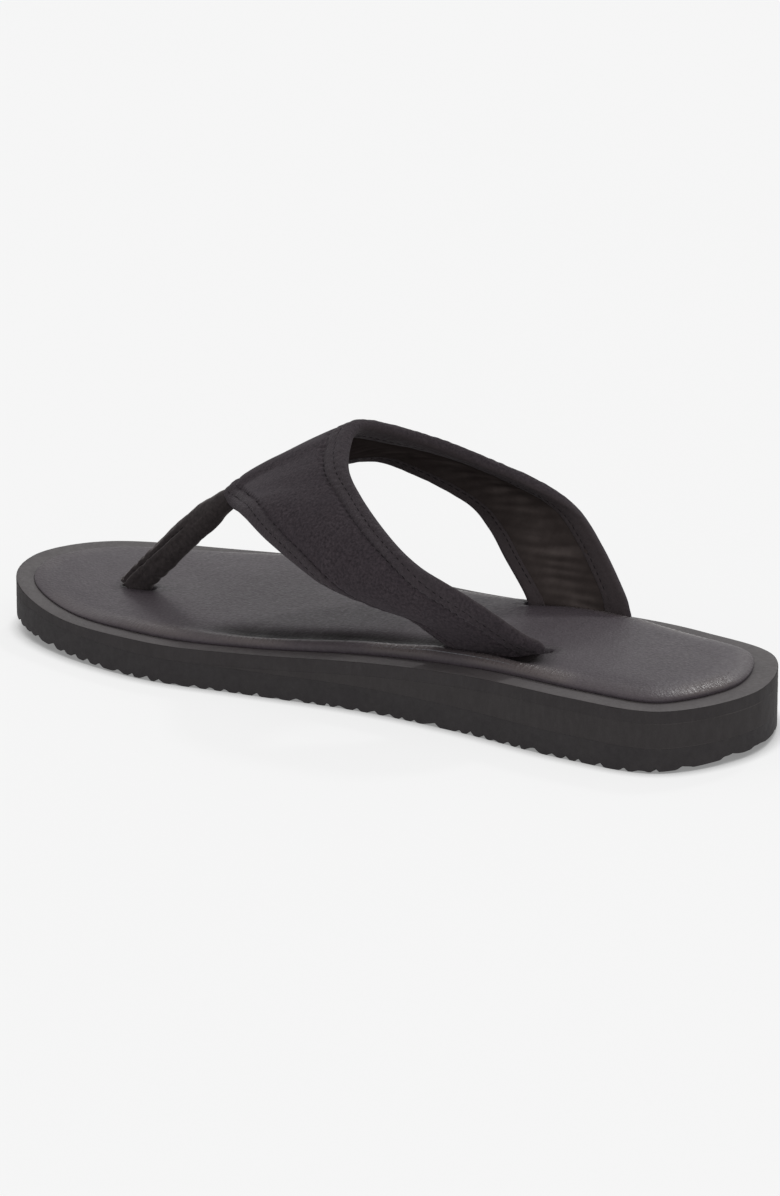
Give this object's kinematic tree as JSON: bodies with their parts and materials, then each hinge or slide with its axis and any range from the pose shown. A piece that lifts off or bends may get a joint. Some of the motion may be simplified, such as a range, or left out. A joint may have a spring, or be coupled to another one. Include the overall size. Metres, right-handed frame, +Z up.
{
  "type": "flip flop",
  "caption": "Padded thong sandal for the right foot: layered foam sole with ripple tread, cushioned footbed and a wide fabric strap.",
  "frame": {"origin": "bottom centre of the bounding box, on the ground plane under the middle of the sole", "axes": "+Z up; -Y towards the toe and +Y towards the heel; +X towards the medial, big-toe side of the right foot"},
  "size_m": [0.1022, 0.2666, 0.0792],
  "materials": {
    "rubber": "matte moulded foam rubber, black",
    "foam_sole": "matte closed-cell foam, charcoal",
    "board": "pressed fibre board, brown",
    "cushion": "open-cell foam, dark grey",
    "footbed": "satin black synthetic leather with a fine grain",
    "fabric": "matte black stretch fabric",
    "lining": "thin satin lining, black with a warm sheen",
    "webbing": "woven black webbing",
    "thread": "black sewing thread"
  },
  "bodies": {
    "root": {"outsole": "rubber", "heel_wedge": "foam_sole", "midsole": "foam_sole", "insole_board": "board", "footbed_foam": "cushion", "footbed_cover": "footbed", "strap_outer_fabric": "fabric", "strap_padding": "cushion", "strap_lining": "lining", "strap_topstitch_front": "thread", "strap_topstitch_front_inner": "thread", "strap_topstitch_rear": "thread", "strap_topstitch_rear_inner": "thread", "toe_post_sleeve": "fabric", "toe_post_core": "webbing", "toe_post_topstitch": "thread", "neck_seam_thread": "thread", "medial_strap_anchor": "webbing", "lateral_strap_anchor": "webbing", "toe_post_anchor": "webbing"}
  },
  "joints": []
}
